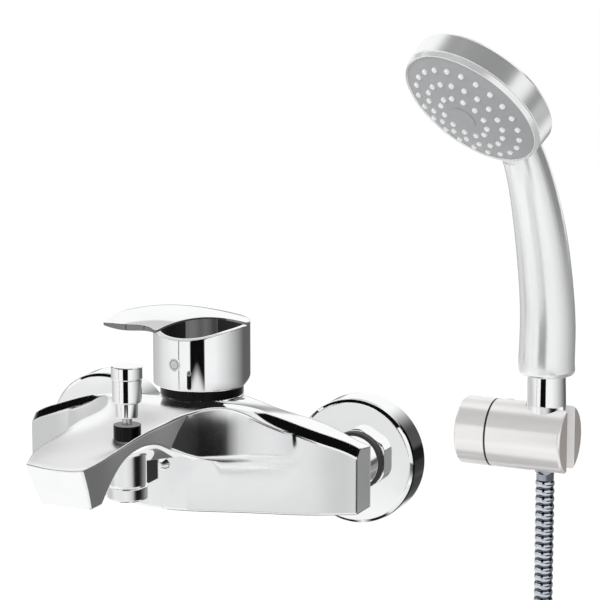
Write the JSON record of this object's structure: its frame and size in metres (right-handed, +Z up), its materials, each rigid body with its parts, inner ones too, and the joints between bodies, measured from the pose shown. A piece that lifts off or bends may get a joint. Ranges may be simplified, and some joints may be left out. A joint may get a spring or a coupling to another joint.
{
  "type": "bath shower set",
  "caption": "Wall bath mixer with a long dished spout and lift-up lever, beside a hand shower standing in a tilting wall holder on a ribbed metal hose.",
  "frame": {"origin": "on the wall plane, midway between the mixer's two inlet threads", "axes": "+Z up, -Y out into the room, +X to the right as seen from the room"},
  "size_m": [0.3555, 0.232, 0.4828],
  "materials": {
    "polished_chrome": "polished",
    "satin_shell": "satin plated plastic",
    "spray_grey": "satin",
    "nozzle_white": "soft",
    "black_rubber": "matt",
    "white_plastic": "moulded",
    "brass": "turned",
    "steel": "brushed",
    "hose_metal": "ribbed",
    "indicator_plate": "moulded"
  },
  "bodies": {
    "wall_side": {"aerator_housing": "polished_chrome", "aerator_insert": "white_plastic", "cartridge_body": "white_plastic", "cartridge_nut": "brass", "check_valve": "white_plastic", "cover_plug": "polished_chrome", "diverter_collar": "polished_chrome", "friction_ring": "black_rubber", "holder_fixed_barrel": "polished_chrome", "left_flange": "polished_chrome", "left_inlet_sleeve": "polished_chrome", "left_union_nut": "polished_chrome", "left_union_tail": "brass", "left_union_washer": "black_rubber", "mixer_body": "polished_chrome", "neck_ring": "polished_chrome", "outlet_nipple": "polished_chrome", "right_flange": "polished_chrome", "right_inlet_sleeve": "polished_chrome", "right_union_nut": "polished_chrome", "right_union_tail": "brass", "right_union_washer": "black_rubber", "wall_plate": "polished_chrome", "wall_plug_lower": "white_plastic", "wall_plug_upper": "white_plastic", "wall_screw_lower": "steel", "wall_screw_upper": "steel"},
    "turret": {"cartridge_turret": "white_plastic", "lift_axle": "steel"},
    "handle": {"lever_handle": "polished_chrome", "indicator_button": "indicator_plate", "lever_stem": "steel"},
    "diverter": {"diverter_spindle": "steel", "diverter_valve": "white_plastic", "diverter_knob": "polished_chrome", "diverter_cap": "polished_chrome"},
    "holder_turning": {"holder_turning_barrel": "polished_chrome"},
    "cone": {"cone_nut": "polished_chrome"},
    "handset": {"handset_shell": "satin_shell", "head_bezel": "polished_chrome", "spray_plate": "spray_grey", "spray_nozzles": "nozzle_white", "centre_disc": "spray_grey", "handset_nipple": "polished_chrome"},
    "hose": {"hose_ferrule": "brass", "hose_drop": "hose_metal", "hose_coil": "hose_metal", "hose_tie_right": "white_plastic", "hose_tie_top": "white_plastic", "hose_end_nut": "polished_chrome", "hose_end_washer": "black_rubber"}
  },
  "joints": [
    {"name": "lever_turn", "type": "hinge", "parent": "wall_side", "child": "turret", "pos_m": [0, -0.0467, 0.056], "axis": [0, 0, 1], "range_deg": [-37, 53]},
    {"name": "lever_lift", "type": "hinge", "parent": "turret", "child": "handle", "pos_m": [0, -0.0467, 0.056], "axis": [-0.9903, 0.1392, 0], "range_deg": [0, 20]},
    {"name": "diverter_pull", "type": "slide", "parent": "wall_side", "child": "diverter", "axis": [0, 0, 1], "range_m": [0, 0.008], "stiffness_N_per_m": 60},
    {"name": "holder_tilt", "type": "hinge", "parent": "wall_side", "child": "holder_turning", "pos_m": [0.1859, -0.024, 0.0266], "axis": [1, 0, 0], "range_deg": [-8, 25]},
    {"name": "cone_lift", "type": "slide", "parent": "holder_turning", "child": "cone", "axis": [0, 0, 1], "range_m": [0, 0.06], "deforming": ["hose_drop"]},
    {"name": "handset_swivel", "type": "hinge", "parent": "cone", "child": "handset", "pos_m": [0.1859, -0.024, 0.061], "axis": [0, 0, 1], "range_deg": [-40, 85]},
    {"name": "hose_sway", "type": "hinge", "parent": "cone", "child": "hose", "pos_m": [0.1859, -0.024, 0.0115], "axis": [1, 0, 0], "range_deg": [-25, 8]}
  ],
  "couplings": [
    {"joint": "hose_sway", "follows": "holder_tilt", "ratio": -1}
  ]
}
